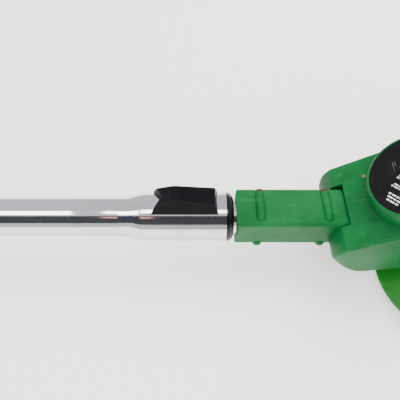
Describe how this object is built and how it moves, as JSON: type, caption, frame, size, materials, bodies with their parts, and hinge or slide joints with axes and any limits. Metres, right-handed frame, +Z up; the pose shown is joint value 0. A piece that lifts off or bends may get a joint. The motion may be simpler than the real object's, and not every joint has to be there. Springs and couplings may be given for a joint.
{
  "type": "cordless grass trimmer",
  "caption": "Cordless grass trimmer with a telescopic chrome pole, a tilting green motor head, a blade guard, a support loop and a slide-on battery.",
  "frame": {"origin": "centre of the footprint, on the surface that the tool lies on", "axes": "+X along the pole towards the head, +Y to the tool's left, +Z up from the surface"},
  "size_m": [0.93, 0.154, 0.1748],
  "materials": {
    "green_shell": "moulded green plastic, satin",
    "green_guard": "moulded bright green plastic",
    "chrome_tube": "polished chrome plate",
    "black_plastic": "moulded black plastic",
    "black_gloss": "glossy black plastic",
    "soft_grip": "soft-touch rubber",
    "label_print": "printed black label",
    "screw_steel": "tarnished steel",
    "spring_steel": "bright spring steel",
    "blade_steel": "ground steel",
    "white_nylon": "natural nylon",
    "motor_steel": "zinc-plated steel",
    "magnet": "sintered ferrite",
    "rotor_steel": "laminated steel and copper windings",
    "board": "circuit board",
    "brass": "tinned brass",
    "cell_wrap": "shrink-wrapped cell",
    "lead_rubber": "insulated wire"
  },
  "bodies": {
    "handle": {"handle_left_shell": "green_shell", "handle_right_shell": "green_shell", "handle_screws": "screw_steel", "grip_pad": "soft_grip", "outer_tube": "chrome_tube", "lock_sleeve": "white_nylon", "tube_end_ring": "black_gloss", "lock_button_spring": "spring_steel", "coiled_lead": "lead_rubber", "trigger_pin": "spring_steel", "trigger_spring": "spring_steel", "trigger_switch": "black_plastic", "controller_board": "board", "battery_contacts": "brass", "clamp_upper_half": "black_plastic", "clamp_lower_half": "black_plastic", "clamp_screws": "screw_steel", "clamp_bolt": "spring_steel"},
    "lock_button": {"lock_button": "black_plastic"},
    "lock_shoe": {"lock_shoe": "white_nylon"},
    "connector": {"inner_tube": "chrome_tube", "inner_tube_bush": "white_nylon", "connector_north_shell": "green_shell", "connector_south_shell": "green_shell", "connector_screws": "screw_steel", "tilt_detent_plate": "motor_steel"},
    "head": {"head_north_shell": "green_shell", "head_south_shell": "green_shell", "head_screws": "screw_steel", "hinge_pin": "spring_steel", "tilt_lock_bezel": "black_plastic", "tilt_lock_spring": "spring_steel", "label_disc": "label_print", "motor_can": "motor_steel", "motor_end_bell": "black_plastic", "motor_magnets": "magnet", "motor_mount_plate": "motor_steel", "motor_screws": "screw_steel", "front_bearing": "brass", "guard": "green_guard", "guard_screws": "screw_steel"},
    "tilt_button": {"tilt_lock_button": "black_plastic"},
    "spindle": {"rotor": "rotor_steel", "blade_flange": "motor_steel", "cutting_blade": "blade_steel", "blade_nut": "motor_steel"},
    "trigger": {"trigger": "black_plastic"},
    "lock_off": {"lock_off_slider": "black_plastic"},
    "battery": {"battery_upper_case": "black_plastic", "battery_lower_case": "black_plastic", "battery_cells": "cell_wrap", "battery_board": "board", "battery_latch_spring": "spring_steel"},
    "battery_latch": {"battery_latch": "green_shell"},
    "support_loop": {"support_loop": "black_gloss", "loop_sleeve": "soft_grip"},
    "clamp_knob": {"clamp_knob": "black_plastic"}
  },
  "joints": [
    {"name": "telescope", "type": "slide", "parent": "handle", "child": "connector", "axis": [1, 0, 0], "range_m": [0, 0.2]},
    {"name": "lock_button_slide", "type": "slide", "parent": "handle", "child": "lock_button", "axis": [1, 0, 0], "range_m": [0, 0.004], "stiffness_N_per_m": 400, "springref_m": -0.004, "deforming": ["lock_button_spring"]},
    {"name": "lock_shoe_lift", "type": "slide", "parent": "handle", "child": "lock_shoe", "axis": [0, 0.1736, 0.9848], "range_m": [0, 0.0005]},
    {"name": "head_tilt", "type": "hinge", "parent": "connector", "child": "head", "pos_m": [0.38306, 0, 0.04526], "axis": [0, 1, 0], "range_deg": [0, 36]},
    {"name": "tilt_button_push", "type": "slide", "parent": "head", "child": "tilt_button", "axis": [0, -1, 0], "range_m": [0, 0.003], "stiffness_N_per_m": 600, "springref_m": -0.003, "deforming": ["tilt_lock_spring"]},
    {"name": "blade_spin", "type": "hinge", "parent": "head", "child": "spindle", "pos_m": [0.4134, 0, 0.06731], "axis": [-0.5878, 0, 0.809], "continuous": true},
    {"name": "trigger_pull", "type": "hinge", "parent": "handle", "child": "trigger", "pos_m": [-0.257, 0, 0.03276], "axis": [0, 1, 0], "range_deg": [0, 10], "stiffness_Nm_per_rad": 0.6, "springref_deg": -11.46, "deforming": ["trigger_spring"]},
    {"name": "lock_off_slide", "type": "slide", "parent": "handle", "child": "lock_off", "axis": [1, 0, 0], "range_m": [0, 0.005], "stiffness_N_per_m": 250, "springref_m": -0.003},
    {"name": "battery_slide", "type": "slide", "parent": "handle", "child": "battery", "axis": [-1, 0, 0], "range_m": [0, 0.105]},
    {"name": "battery_latch_press", "type": "slide", "parent": "battery", "child": "battery_latch", "axis": [0, 0, -1], "range_m": [0, 0.002], "stiffness_N_per_m": 700, "springref_m": -0.002, "deforming": ["battery_latch_spring"]},
    {"name": "loop_tilt", "type": "hinge", "parent": "handle", "child": "support_loop", "pos_m": [-0.155, 0, 0.07226], "axis": [0, 1, 0], "range_deg": [-60, 60]},
    {"name": "clamp_knob_turn", "type": "hinge", "parent": "handle", "child": "clamp_knob", "pos_m": [-0.155, 0, 0.07226], "axis": [0, 1, 0], "continuous": true}
  ],
  "couplings": [
    {"joint": "lock_shoe_lift", "follows": "lock_button_slide", "ratio": 0.125}
  ]
}
